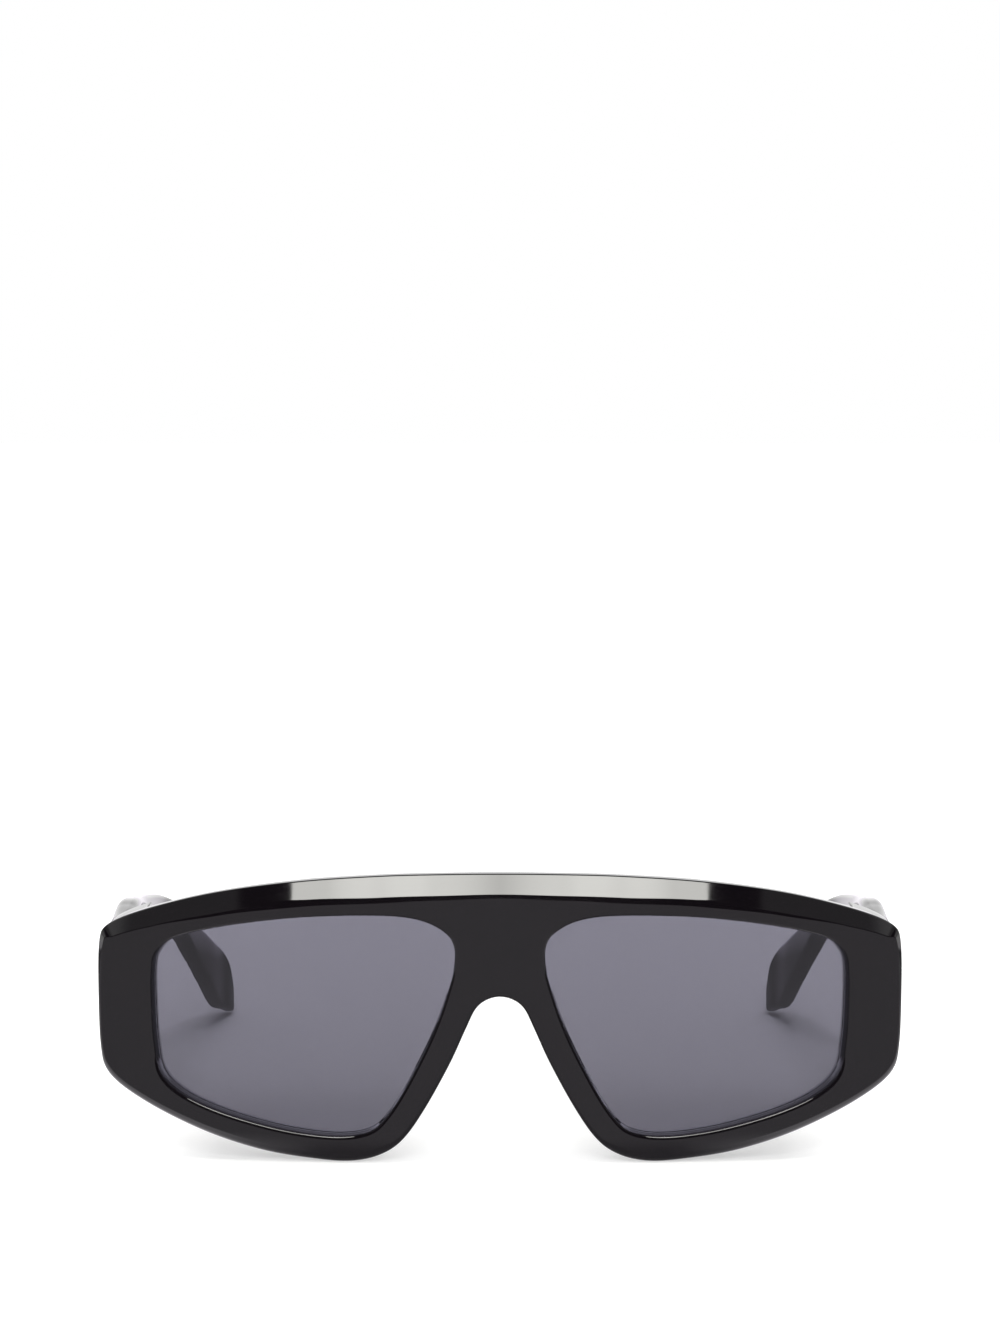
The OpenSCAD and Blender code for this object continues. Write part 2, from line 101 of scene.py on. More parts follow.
def between(p, q, r, s, t):
    """Point a share t of the way from q to r, on the smooth curve through all four."""
    bend = (2 * p - 5 * q + 4 * r - s) * t * t + (3 * q - p - 3 * r + s) * t**3
    return q + ((r - p) * t + bend) / 2


def spline(points, steps):
    """Closed smooth curve through the points."""
    made = []
    for i in range(len(points)):
        near = [Vector(points[(i + k) % len(points)]) for k in (-1, 0, 1, 2)]
        made += [between(*near, k / steps) for k in range(steps)]
    return made


def buffed(points, reach):
    """The same closed curve with its bends evened out over this reach."""
    n = len(points)
    gaps = [(points[(k + 1) % n] - points[k]).length for k in range(n)]
    made = []
    for i in range(n):
        share = (gaps[i] + gaps[i - 1]) / 2
        total, weight = points[i] * share, share
        for way in (1, -1):
            k, far = i, 0.0
            while far < 3 * reach:
                far += gaps[k] if way == 1 else gaps[k - 1]
                k = (k + way) % n
                share = math.exp(-((far / reach) ** 2) / 2) * (gaps[k] + gaps[k - 1]) / 2
                total = total + points[k] * share
                weight += share
        made.append(total / weight)
    return made


def eased(values, place):
    """Value at a place along a list, which turns smoothly from one entry to the next."""
    k = min(int(place), len(values) - 2)
    t = place - k
    return values[k] + (values[k + 1] - values[k]) * t * t * (3 - 2 * t)


def arc(size, start, end, count):
    """Points of a circle's arc from its centre, angles in degrees."""
    turns = (math.radians(start + (end - start) * k / (count - 1)) for k in range(count))
    return [Vector((math.cos(t), math.sin(t))) * size for t in turns]


def loft(bm, rings):
    """Skin over rings of equal length, each drawn out of the last: across, up, back."""
    step = bm.verts.layers.int.get("step") or bm.verts.layers.int.new("step")
    first = [bm.verts.new((p[0], p[2], p[1])) for p in rings[0]]
    for k, v in enumerate(first):
        v[step] = k
    edges = [bm.edges.new((v, first[k - 1])) for k, v in enumerate(first)]
    start = edges
    for ring in rings[1:]:
        drawn = bmesh.ops.extrude_edge_only(bm, edges=edges)["geom"]
        fresh = {v for v in drawn if isinstance(v, bmesh.types.BMVert)}
        for v in fresh:
            across, up, back = ring[v[step]]
            v.co = (across, back, up)
        edges = [
            e for e in drawn if isinstance(e, bmesh.types.BMEdge) and set(e.verts) <= fresh
        ]
    return start, edges


def wrap(bm):
    """Bends a flat layout, in which X runs along the face, to the curve of the face."""
    for v in bm.verts:
        turn, reach = v.co.x / FACE_RADIUS, FACE_RADIUS - v.co.y
        v.co.x, v.co.y = reach * math.sin(turn), FACE_RADIUS - reach * math.cos(turn)


def finish_piece(bm, name, body, material, weighted=True):
    """Puts a mesh in millimetres in its place and makes it a piece.

    Its shading is evened out over the faces, or else plain and crisp at sharp edges.
    """
    bmesh.ops.recalc_face_normals(bm, faces=bm.faces)
    bmesh.ops.transform(
        bm, matrix=Matrix.Scale(0.001, 4) @ Matrix.Translation((0, -MIDDLE, 0)), verts=bm.verts
    )
    for face in bm.faces:
        face.smooth = True
    if not weighted:
        for edge in bm.edges:
            edge.smooth = edge.calc_face_angle(0) < math.radians(CRISP)
    mesh = bpy.data.meshes.new(name)
    bm.to_mesh(mesh)
    bm.free()
    mesh.materials.append(material)
    piece = bpy.data.objects.new(name, mesh)
    bpy.context.scene.collection.objects.link(piece)
    if weighted:
        piece.modifiers.new("even_shading", "WEIGHTED_NORMAL").weight = 50
    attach(piece, body)
    return piece


def mirrored(bm):
    """The same shape for the wearer's right side."""
    other = bm.copy()
    bmesh.ops.scale(other, vec=(-1, 1, 1), verts=other.verts)
    return other


half_steps = STEPS * (len(OUTLINE) - 1)
all_steps = STEPS * len(OPENING)
both_halves = OUTLINE + [(-a, z) for a, z in OUTLINE[-2:0:-1]]
outline = buffed(spline(both_halves, STEPS), OUTLINE_EVENED)[: half_steps + 1]
outline[0].x = outline[-1].x = 0
opening = buffed(spline(OPENING, STEPS), OPENING_EVENED)
edge_sizes = BROW_BEVEL + [SIDE_ROUND] * 2 + [LOWER_ROUND] * 7 + [SIDE_ROUND] * 6
edge_forms = [0] * 8 + [1] * 15  # from a bevel, 0, to a rounding, 1
block_arc = FACE_RADIUS * math.asin(BLOCK_IN / (FACE_RADIUS - FRONT_THICK))
block_top = next(k for k, p in enumerate(outline) if p.x >= block_arc)
block_end = next(k for k, p in enumerate(outline) if k > block_top and p.y <= BLOCK_LOW)
block_turn = next(
    k for k, p in enumerate(outline) if k > block_top and p.y <= BLOCK_LOW + BLOCK_TURN
)
middle_count = all_steps - half_steps
middle_low = outline[-1].y + MIDDLE_INSET[0]
middle_high = outline[0].y - BROW_BEVEL[0] - MIDDLE_INSET[1]


def edge_inward(k):
    """Direction from the outline into the face at step k."""
    before = outline[k - 1] if k else Vector((-outline[1].x, outline[1].y))
    after = outline[k + 1] if k < half_steps else Vector((-outline[-2].x, outline[-2].y))
    return Vector((after.y - before.y, before.x - after.x)).normalized()


# Where the front edge begins on the face, point for point with the outline.
feet = [
    outline[m * STEPS] + edge_inward(m * STEPS) * edge_sizes[m] for m in range(CORNER[-1] + 2)
]
feet[CORNER[0] + 1 : CORNER[-1]] = [Vector(p) for p in CORNER[1:-1]]


def edge_profile(size, form, soft):
    """The front edge, from the face to the wall: distance from the outline, depth."""
    near = [Vector((size, soft)) + p for p in arc(soft, 270, 225, ARC_POINTS)]
    wall = size + (BEVEL_FILLET - soft) * math.tan(math.radians(22.5))
    far = [Vector((BEVEL_FILLET, wall)) + p for p in arc(BEVEL_FILLET, 225, 180, ARC_POINTS)]
    bevel = near + [near[-1].lerp(far[0], t) for t in BEVEL_ROWS] + far
    centre = Vector((size, size))
    rounding = [centre + p for p in arc(size, 270, 180, EDGE_POINTS)]
    return [p.lerp(q, form) for p, q in zip(bevel, rounding)]


def rim_section(k):
    """The rim at step k: arc, height and depth, from the groove round to the groove."""
    edge = opening[k]
    out = opening[(k + 1) % all_steps] - opening[k - 1]
    out = Vector((-out.y, out.x)).normalized()
    on_outline = k <= half_steps
    if on_outline:
        wall = outline[k]
        inward, size = edge_inward(k), eased(edge_sizes, k / STEPS)
        if CORNER[0] * STEPS < k < CORNER[-1] * STEPS:
            m = k // STEPS
            inward = between(*feet[m - 1 : m + 3], k % STEPS / STEPS) - wall
            size = inward.length
            inward.normalize()
        soft = eased(BEVEL_SOFT, min(k / STEPS, len(BEVEL_SOFT) - 1))
        profile = edge_profile(size, eased(edge_forms, k / STEPS), soft)
        from_block = max(block_top - k, 0, k - block_end) / STEPS * BLOCK_EASE
        back = BACK_ROUND * eased([0, 1], min(from_block, 1))  # none where the block grows
    else:
        place = (k - half_steps - 1) / (middle_count - 2)
        wall = Vector((0, middle_low + (middle_high - middle_low) * place))
        inward = Vector((0, 0))
        profile = [Vector((0, 0))] * EDGE_POINTS
        back = 0

    def at(base, way, reach, depth):
        """A point this far from a base, at a depth."""
        spot = base + way * reach
        return Vector((spot.x, spot.y, depth))

    turn = arc(1, 0, 90, ARC_POINTS)
    made = [at(edge, out, GROOVE_REACH, GROOVE[1]), at(edge, out, 0, GROOVE[0])]
    made += [at(edge, out, 0, OPENING_STRAIGHT)]
    made += [at(edge, out, OPENING_ROUND * (1 - p.x), OPENING_ROUND * (1 - p.y)) for p in turn]
    face_end = at(wall, inward, profile[0].x, profile[0].y)
    made += [made[-1].lerp(face_end, t) for t in FACE_ROWS]
    made += [at(wall, inward, p.x, p.y) for p in profile]
    made += [at(wall, inward, 0, (profile[-1].y + FRONT_THICK - back) / 2)]
    made += [
        at(wall, inward, back * (1 - p.x), FRONT_THICK - back * (1 - p.y)) for p in turn
    ]
    rear_start, rear_end = made[-1], at(edge, out, OPENING_BACK, FRONT_THICK)
    inner = rear_start.lerp(rear_end, REAR_MIDDLE)
    if block_top < k <= block_turn:
        place = (k - block_top) / (block_turn - block_top)
        top = outline[block_top].y
        inner = Vector((block_arc, top + (BLOCK_LOW - top) * place, FRONT_THICK))
    elif block_turn < k <= block_end:
        place = (k - block_turn) / (block_end - block_turn)
        last = outline[block_end]
        inner = Vector((block_arc + (last.x - block_arc) * place, BLOCK_LOW, FRONT_THICK))
    elif k == block_top:
        inner = rear_start
    made += [rear_start.lerp(inner, t) for t in (REAR_HOLD, 1)]
    made += [inner.lerp(rear_end, t) for t in REAR_ROWS]
    made += [
        at(edge, out, OPENING_BACK * (1 - p.y), FRONT_THICK - OPENING_BACK * (1 - p.x))
        for p in turn
    ]
    return made + [at(edge, out, 0, GROOVE[2]), made[0]]


def in_order(bm):
    """Numbers points, edges and faces from the top down, so every run ends the same."""
    for k, v in enumerate(sorted(bm.verts, key=lambda v: (-v.co.z, v.co.x, v.co.y))):
        v.index = k
    bm.verts.sort()
    for table in (bm.edges, bm.faces):
        for k, part in enumerate(sorted(table, key=lambda p: sorted(v.index for v in p.verts))):
            part.index = k
        table.sort()
    ordered = bpy.data.meshes.new("ordered")
    bm.to_mesh(ordered)
    bm.clear()
    bm.from_mesh(ordered)
    bpy.data.meshes.remove(ordered)


front_bm = bmesh.new()
sections = [rim_section(k) for k in range(all_steps)]
loft(front_bm, list(zip(*sections)))
on_middle = [f for f in front_bm.faces if all(abs(v.co.x) < 0.0001 for v in f.verts)]
bmesh.ops.delete(front_bm, geom=on_middle, context="FACES")
bmesh.ops.remove_doubles(front_bm, verts=front_bm.verts, dist=MERGED)
bmesh.ops.mirror(
    front_bm, geom=front_bm.verts[:] + front_bm.edges[:] + front_bm.faces[:],
    merge_dist=MERGED, axis="X",
)
footprint = [
    f for f in front_bm.faces
    if all(
        v.co.y > FRONT_THICK - 0.001 and abs(v.co.x) > block_arc - 0.01
        and v.co.z > BLOCK_LOW - 0.01 for v in f.verts
    )
]
wrap(front_bm)
drawn = bmesh.ops.extrude_face_region(front_bm, geom=footprint)["geom"]
for v in drawn:
    if isinstance(v, bmesh.types.BMVert):
        v.co.y = JOINT
bmesh.ops.recalc_face_normals(front_bm, faces=front_bm.faces)
in_order(front_bm)
block_edges = [
    e for e in front_bm.edges
    if any(abs(v.co.y - JOINT) < 0.001 for v in e.verts) and e.is_manifold
    and e.calc_face_angle() > math.radians(BLOCK_SHARP)
]
bmesh.ops.bevel(
    front_bm, geom=block_edges, offset=BLOCK_EDGE, segments=3, profile=0.5, affect="EDGES",
    material=-1,
)


def linear(colour):
    """Linear colour from an sRGB hex value."""
    parts = [int(colour[k : k + 2], 16) / 255 for k in (1, 3, 5)]
    parts = [c / 12.92 if c <= 0.04045 else ((c + 0.055) / 1.055) ** 2.4 for c in parts]
    return (*parts, 1)


def node(owner, kind, inputs=(), stops=(), **settings):
    """Adds a node with its settings. An input is a value, a socket or another node.

    Inputs go by name, or by number where they share one. Stops are places on a ramp
    and the grey level at each.
    """
    made = owner.node_tree.nodes.new(kind)
    for name, value in settings.items():
        setattr(made, name, value)
    for name, value in dict(inputs).items():
        socket = next(s for k, s in enumerate(made.inputs) if name in (k, s.name) and s.enabled)
        if isinstance(value, bpy.types.Node):
            value = next(s for s in value.outputs if s.enabled)
        if isinstance(value, bpy.types.NodeSocket):
            owner.node_tree.links.new(value, socket)
        else:
            socket.default_value = value
    if stops:
        elements = made.color_ramp.elements
        while len(elements) < len(stops):
            elements.new(0.5)
        for element, (place, level) in zip(elements, stops):
            element.position, element.color = place, (level, level, level, 1)
    return made


def new_material(name):
    """A material with no nodes yet."""
    made = bpy.data.materials.new(name)
    made.use_nodes = True
    made.node_tree.nodes.clear()
    return made


# Buffed black cellulose acetate: jet black with a breath of violet and a wet gloss. The
# wheel leaves faint patches, 5 mm across, that are a little less sharp, and a wave every
# 3 mm that is too low to feel.
PATCH_WIDE = 5.0
WAVE_LONG = 3.0
WAVE_HIGH = 0.002
acetate = new_material("buffed_black_acetate")
place = node(acetate, "ShaderNodeTexCoord").outputs["Object"]
patches = node(
    acetate, "ShaderNodeTexNoise", {"Vector": place, "Scale": 1000 / PATCH_WIDE, "Detail": 3}
)
depth_tone = node(
    acetate, "ShaderNodeMix",
    {"Factor": patches, "A": linear("#09070a"), "B": linear("#0d0a0d")}, data_type="RGBA",
)
gloss = node(
    acetate, "ShaderNodeMapRange", {"Value": patches, "To Min": 0.03, "To Max": 0.075}
)
wave = node(
    acetate, "ShaderNodeTexNoise", {"Vector": place, "Scale": 1000 / WAVE_LONG, "Detail": 1}
)
buffing = node(acetate, "ShaderNodeBump", {"Height": wave, "Distance": WAVE_HIGH / 1000})
surface = node(
    acetate, "ShaderNodeBsdfPrincipled",
    {"Base Color": depth_tone, "Roughness": gloss, "IOR": 1.49, "Normal": buffing},
)
node(acetate, "ShaderNodeOutputMaterial", {"Surface": surface})

front = finish_piece(front_bm, "acetate_front", "front_frame", acetate)
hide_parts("front")

# Lenses. Two sheets of grey tinted CR-39, cut to the openings with a pointed edge all
# round and snapped into the grooves of the warmed front. The tint is solid, a neutral
# grey with a breath of violet, and the faces are polished.
LENS_DEPTH = 3.0
LENS_THICK = 2.0
LENS_LIP = 0.3
LENS_POINT = 0.9
LENS_GAP = 0.04
LENS_CHAMFER = 0.08
STRIP = 1.0  # the lens bends from one upright strip to the next
LENS_FAR = 80.0  # past its outer end


def lens_ring(reach, depth):
    """The opening's outline, grown by the reach, at a depth."""
    made = []
    for k, edge in enumerate(opening):
        out = opening[(k + 1) % all_steps] - opening[k - 1]
        spot = edge + Vector((-out.y, out.x)).normalized() * reach
        made.append((spot.x, spot.y, depth))
    return made


lens_back = LENS_DEPTH + LENS_THICK
rings = [
    lens_ring(-LENS_GAP - LENS_CHAMFER, LENS_DEPTH),
    lens_ring(-LENS_GAP, LENS_DEPTH + LENS_CHAMFER),
    lens_ring(-LENS_GAP, LENS_DEPTH + LENS_LIP),
    lens_ring(LENS_POINT, LENS_DEPTH + LENS_THICK / 2),
    lens_ring(-LENS_GAP, lens_back - LENS_LIP),
    lens_ring(-LENS_GAP, lens_back - LENS_CHAMFER),
    lens_ring(-LENS_GAP - LENS_CHAMFER, lens_back),
]
lens_bm = bmesh.new()
for rim in loft(lens_bm, rings):
    bmesh.ops.contextual_create(lens_bm, geom=rim)
for k in range(1, int(LENS_FAR / STRIP)):
    parts = lens_bm.verts[:] + lens_bm.edges[:] + lens_bm.faces[:]
    bmesh.ops.bisect_plane(
        lens_bm, geom=parts, dist=0.0001, plane_co=(k * STRIP, 0, 0), plane_no=(1, 0, 0)
    )
wrap(lens_bm)

# Solid-tinted CR-39: clear plastic of index 1.5 that takes about four fifths of the
# light. Wiping leaves the hard coat a trace less sharp in places 12 mm apart. For shadows
# the tint is plain, so that light falls through the lens to the table.
WIPE_WIDE = 12.0
lens_tint = new_material("grey_tinted_cr39")
place = node(lens_tint, "ShaderNodeTexCoord").outputs["Object"]
wiped = node(
    lens_tint, "ShaderNodeTexNoise",
    {"Vector": place, "Scale": 1000 / WIPE_WIDE, "Detail": 4, "Distortion": 1.5},
)
haze = node(
    lens_tint, "ShaderNodeMapRange",
    {"Value": wiped, "From Min": 0.4, "From Max": 0.8, "To Min": 0.0, "To Max": 0.02},
)
density = node(
    lens_tint, "ShaderNodeMix",
    {"Factor": wiped, "A": linear("#7c7a88"), "B": linear("#7e7c8a")}, data_type="RGBA",
)
glass = node(
    lens_tint, "ShaderNodeBsdfPrincipled",
    {"Base Color": density, "Roughness": haze, "IOR": 1.5, "Transmission Weight": 1.0},
)
shade = node(lens_tint, "ShaderNodeBsdfTransparent", {"Color": linear("#a3a1aa")})
in_shadow = node(lens_tint, "ShaderNodeLightPath").outputs["Is Shadow Ray"]
either = node(lens_tint, "ShaderNodeMixShader", {"Fac": in_shadow, 1: glass, 2: shade})
node(lens_tint, "ShaderNodeOutputMaterial", {"Surface": either})

for side, bm in (("left", lens_bm), ("right", mirrored(lens_bm))):
    lens = finish_piece(bm, f"{side}_lens_tinted", "front_frame", lens_tint, False)
    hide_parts(f"{side}_lens")

# Nose pads. Two rounded wedges of the same acetate, filed to shape and glued along the
# rims beside the nose, then buffed with the front. They lean outwards as a nose does.
PAD_LONG = 13.0
PAD_WIDE = 4.2
PAD_RISE = 4.6
PAD_GLUE = 0.03
PAD_FROM = (15.171, 11.605)  # middle of the rim below and above the pad
PAD_TO = (8.499, 25.117)
PAD_SHAPE = [
    (0, 1, 0), (0.35, 0.98, 0.1), (0.65, 0.86, 0.35), (0.87, 0.62, 0.6), (1, 0.22, 0.75),
]  # share of the rise, share of the width, lean outwards
PAD_STRAIGHT = 0.4  # share of the straight sides that stays where the pad is thinnest
PAD_STEPS = 6  # between two rows of the shape
PAD_SIDES = 64

pad_along = (Vector(PAD_TO) - Vector(PAD_FROM)).normalized()
pad_side = Vector((pad_along.y, -pad_along.x))
pad_middle = (Vector(PAD_FROM) + Vector(PAD_TO)) / 2
rings = []
for k in range((len(PAD_SHAPE) - 1) * PAD_STEPS + 1):
    rise, wide, lean = (eased([s[c] for s in PAD_SHAPE], k / PAD_STEPS) for c in range(3))
    ring = []
    for p in arc(1, 0, 360 - 360 / PAD_SIDES, PAD_SIDES):
        straight = (PAD_LONG - PAD_WIDE) / 2 * (PAD_STRAIGHT + (1 - PAD_STRAIGHT) * wide)
        straight *= max(-1, min(1, p.x * 4))
        spot = pad_middle + pad_along * (straight + p.x * PAD_WIDE / 2 * wide)
        spot += pad_side * (p.y * PAD_WIDE / 2 * wide + lean)
        ring.append((spot.x, spot.y, FRONT_THICK + PAD_GLUE + PAD_RISE * rise))
    rings.append(ring)
pad_bm = bmesh.new()
for rim in loft(pad_bm, rings):
    bmesh.ops.contextual_create(pad_bm, geom=rim)
wrap(pad_bm)
for side, bm in (("left", pad_bm), ("right", mirrored(pad_bm))):
    pad = finish_piece(bm, f"{side}_nose_pad_buffed", "front_frame", acetate)
    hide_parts(f"{side}_nose_pad")

# Temples. Straight blanks of the same acetate, 4 mm thick, cut to shape, bent down and in
# behind the ear over heat, with every edge rounded over and buffed.
TEMPLE_LONG = 130.0
TEMPLE_THICK = 4.0
TEMPLE_TALL = 10.8
TEMPLE_TOP = 42.372
TEMPLE_ROUND = 1.4
TEMPLE_LEAN = 10.5
TEMPLE_FALL = 37.934
TEMPLE_FROM = 17.55
TEMPLE_OUT = 71.138
JOINT_ROUND = 0.3
ROUND_SHRINK = 0.6  # how much the section's rounding shrinks with its inset at the joint
CORNER_POINTS = 9  # of each rounded corner of the section
TIP = 0.8  # the last part of the shape, over which the tip closes
TIP_TURN = 7.0  # share of the lean by which the closing tip turns outwards
TIP_DROP = 0.62  # share of its height by which its upper edge falls to the lower one
TIP_LEAST = 0.1  # share of the section that is left at the end
SHOULDER = 2.5  # rounding of the outer top edge at the joint, where it meets the front
SHOULDER_LONG = 12  # share of the length over which that rounding eases off
TEMPLE_STEPS = 16  # between two rows of the shape
TEMPLE_SHAPE = [
    (0, 0.8, 0.97, 0, 1), (8, 0.4, 1, -1, 1), (16, 1.1, 0.97, -2.5, 1), (32, 8.9, 0.84, -8.5, 1),
    (50, 17.3, 0.66, 1.3, 0.97), (59, 27.4, 0.57, 31.2, 0.94), (68, 41.4, 0.7, 50, 0.9),
    (79, 56.1, 0.97, 68.4, 0.86), (90, 68, 1.19, 77.8, 0.8), (94.5, 78.3, 0.978, 89.5, 0.76),
    (98, 91.7, 0.631, 95, 0.66), (100, 100, 0.41, 100, 0.5),
]  # share of the length, of the fall, of the height, of the lean, of the thickness


def temple_at(place):
    """Row of the temple's shape at a place along its list, on a smooth curve."""
    last = len(TEMPLE_SHAPE) - 1
    k = min(int(place), last - 1)
    rows = []
    for i in (k - 1, k, k + 1, k + 2):
        if i < 0:
            rows.append([2 * a - b for a, b in zip(TEMPLE_SHAPE[0], TEMPLE_SHAPE[1])])
        elif i > last:
            rows.append([2 * a - b for a, b in zip(TEMPLE_SHAPE[-1], TEMPLE_SHAPE[-2])])
        else:
            rows.append(TEMPLE_SHAPE[i])
    return [between(*values, place - k) for values in zip(*rows)]


def temple_ring(row, inset=0.0, back=0.0):
    """Rounded section of the temple, smaller all round by the inset and moved back."""
    length, fall, tall, lean, thick = row
    wide, high = TEMPLE_THICK * thick, TEMPLE_TALL * tall
    across = TEMPLE_OUT - TEMPLE_THICK / 2 - lean / 100 * TEMPLE_LEAN
    up = TEMPLE_TOP - fall / 100 * TEMPLE_FALL - high / 2
    along = TEMPLE_FROM + length / 100 * TEMPLE_LONG
    shoulder = (SHOULDER - TEMPLE_ROUND) * eased([1, 0], min(length / SHOULDER_LONG, 1))
    ring = []
    for corner, (sx, sz) in enumerate(((1, 1), (-1, 1), (-1, -1), (1, -1))):
        size = TEMPLE_ROUND * thick - inset * ROUND_SHRINK + (shoulder if corner == 0 else 0)
        centre = Vector(((wide / 2 - inset - size) * sx, (high / 2 - inset - size) * sz))
        for p in arc(size, corner * 90, corner * 90 + 90, CORNER_POINTS):
            spot = centre + p
            ring.append((across + spot.x, up + spot.y, along + back))
    return ring


last_place = len(TEMPLE_SHAPE) - 1
rings = [
    temple_ring(temple_at(0), JOINT_ROUND * (1 - p.y), JOINT_ROUND * (1 - p.x))
    for p in arc(1, 0, 90, 5)
]
rings += [
    temple_ring(temple_at(k / TEMPLE_STEPS))
    for k in range(1, int((last_place - TIP) * TEMPLE_STEPS))
]
for p in arc(1, 90, 0, 10)[1:]:
    row = temple_at(last_place - TIP * (1 - p.x))
    keep = TIP_LEAST + (1 - TIP_LEAST) * p.y
    row[1] += (1 - keep) * row[2] * TEMPLE_TALL * TIP_DROP / TEMPLE_FALL * 100
    row[3] -= (1 - keep) * TIP_TURN
    row[2] *= keep
    row[4] *= keep
    rings.append(temple_ring(row))
temple_bm = bmesh.new()
for rim in loft(temple_bm, rings):
    bmesh.ops.contextual_create(temple_bm, geom=rim)
for side, bm in (("left", temple_bm), ("right", mirrored(temple_bm))):
    temple = finish_piece(bm, f"{side}_temple_acetate", f"{side}_side", acetate)
    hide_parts(f"{side}_temple")

# Hinges. Five-barrel hinges of nickel silver: a leaf with three barrels is let into the
# end block, and a long leaf with two into the temple. Barrels and leaves are stamped and
# reamed, and their edges are broken by tumbling.
AXIS = (65.388, 19.15)
TEMPLE_IN = 67.138
HINGE_LOW = 33.272
STACK = 7.4
BARREL_RADIUS = 1.55
BARREL_GAP = 0.08
BORE_RADIUS = 0.65
LEAF_THICK = 0.9
LEAF_LONG = 9.0
LEAF_PROUD = 0.04
WEB = 1.71  # from the axis to the face of either leaf
HINGE_EDGE = 0.09  # breaking of its edges
SHARP = 40  # degrees from which an edge is broken
ROUND_SIDES = 56
barrel_tall = (STACK - 4 * BARREL_GAP) / 5
barrel_pitch = barrel_tall + BARREL_GAP


def barrel(bm, number, toward, low):
    """One barrel with its bore, and a web towards its leaf that starts at this side."""
    rim = bmesh.ops.create_circle(bm, segments=ROUND_SIDES, radius=BARREL_RADIUS)["verts"]
    bore = bmesh.ops.create_circle(bm, segments=ROUND_SIDES, radius=BORE_RADIUS)["verts"]
    along = Vector((-toward.y, toward.x, 0))
    for v in rim:
        if v.co.dot(toward) > 0.001:
            v.co = toward * WEB + along * max(low, v.co.dot(along))
    edges = list({e for v in rim + bore for e in v.link_edges})
    faces = bmesh.ops.bridge_loops(bm, edges=edges)["faces"]
    drawn = bmesh.ops.extrude_face_region(bm, geom=faces)["geom"]
    top = [g for g in drawn if isinstance(g, bmesh.types.BMVert)]
    bmesh.ops.translate(bm, vec=(0, 0, barrel_tall), verts=top)
    place = (AXIS[0], AXIS[1], HINGE_LOW + number * barrel_pitch)
    bmesh.ops.translate(bm, vec=place, verts=rim + bore + top)


def leaf(bm, low, high):
    """A plate between two corners."""
    made = bmesh.ops.create_cube(bm, size=1)["verts"]
    low, high = Vector(low), Vector(high)
    bmesh.ops.scale(bm, vec=high - low, verts=made)
    bmesh.ops.translate(bm, vec=(low + high) / 2, verts=made)


def broken_edges(bm, size):
    """Rounds off every sharp outer edge."""
    bmesh.ops.remove_doubles(bm, verts=bm.verts, dist=0.001)
    bmesh.ops.recalc_face_normals(bm, faces=bm.faces)
    sharp = [
        e for e in bm.edges
        if e.is_manifold and e.is_convex and e.calc_face_angle() > math.radians(SHARP)
    ]
    bmesh.ops.bevel(
        bm, geom=sharp, offset=size, segments=2, profile=0.5, affect="EDGES", material=-1
    )


front_hinge_bm = bmesh.new()
for number in (0, 2, 4):
    barrel(front_hinge_bm, number, Vector((0, -1, 0)), -BARREL_RADIUS)
leaf(
    front_hinge_bm,
    (AXIS[0] - BARREL_RADIUS, JOINT - LEAF_THICK, HINGE_LOW),
    (TEMPLE_IN, JOINT + LEAF_PROUD, HINGE_LOW + STACK),
)
broken_edges(front_hinge_bm, HINGE_EDGE)
temple_hinge_bm = bmesh.new()
for number in (1, 3):
    barrel(temple_hinge_bm, number, Vector((1, 0, 0)), -BARREL_RADIUS / 2)
leaf(
    temple_hinge_bm,
    (TEMPLE_IN - LEAF_PROUD, AXIS[1] - BARREL_RADIUS / 2, HINGE_LOW + barrel_pitch),
    (
        TEMPLE_IN + LEAF_THICK, AXIS[1] - BARREL_RADIUS / 2 + LEAF_LONG,
        HINGE_LOW + STACK - barrel_pitch,
    ),
)
broken_edges(temple_hinge_bm, HINGE_EDGE)

# Tumbled nickel silver: a warm grey alloy with a soft satin left by the stones, crossed
# by hair-fine scratches about 0.2 mm apart.
SCRATCH_APART = 0.2
SCRATCH_DEEP = 0.004
nickel_silver = new_material("tumbled_nickel_silver")
place = node(nickel_silver, "ShaderNodeTexCoord").outputs["Object"]
stretched = node(nickel_silver, "ShaderNodeMapping", {"Vector": place, "Scale": (1, 1, 0.15)})
scratches = node(
    nickel_silver, "ShaderNodeTexNoise",
    {"Vector": stretched, "Scale": 1000 / SCRATCH_APART, "Detail": 3},
)
satin = node(
    nickel_silver, "ShaderNodeMapRange", {"Value": scratches, "To Min": 0.2, "To Max": 0.38}
)
alloy = node(
    nickel_silver, "ShaderNodeMix",
    {"Factor": scratches, "A": linear("#a8a294"), "B": linear("#c9c4b7")}, data_type="RGBA",
)
stone_marks = node(
    nickel_silver, "ShaderNodeBump", {"Height": scratches, "Distance": SCRATCH_DEEP / 1000}
)
surface = node(
    nickel_silver, "ShaderNodeBsdfPrincipled",
    {"Base Color": alloy, "Metallic": 1.0, "Roughness": satin, "Normal": stone_marks},
)
node(nickel_silver, "ShaderNodeOutputMaterial", {"Surface": surface})

for name, body, bm in (
    ("front_hinge", "front_frame", front_hinge_bm), ("temple_hinge", "side", temple_hinge_bm)
):
    for side, shape in (("left", bm.copy()), ("right", mirrored(bm))):
        rides = body if body == "front_frame" else f"{side}_side"
        hinge = finish_piece(shape, f"{side}_{name}_barrels", rides, nickel_silver)
        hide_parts(f"{side}_{name}")
    bm.free()

# Hinge screws. Stainless steel, turned, with a slotted cheese head that sits on the top
# barrel and a shank through all five. The right and left ones are the same.
SHANK_RADIUS = 0.6
HEAD_RADIUS = 1.15
HEAD_TALL = 0.6
SLOT_WIDE = 0.35
SLOT_DEEP = 0.25
SCREW_EDGE = 0.05  # breaking of the head's edges
HEAD_CLEAR = 0.05  # between the head and the top barrel
HEAD_SIDES = 48
SHANK_SIDES = 40

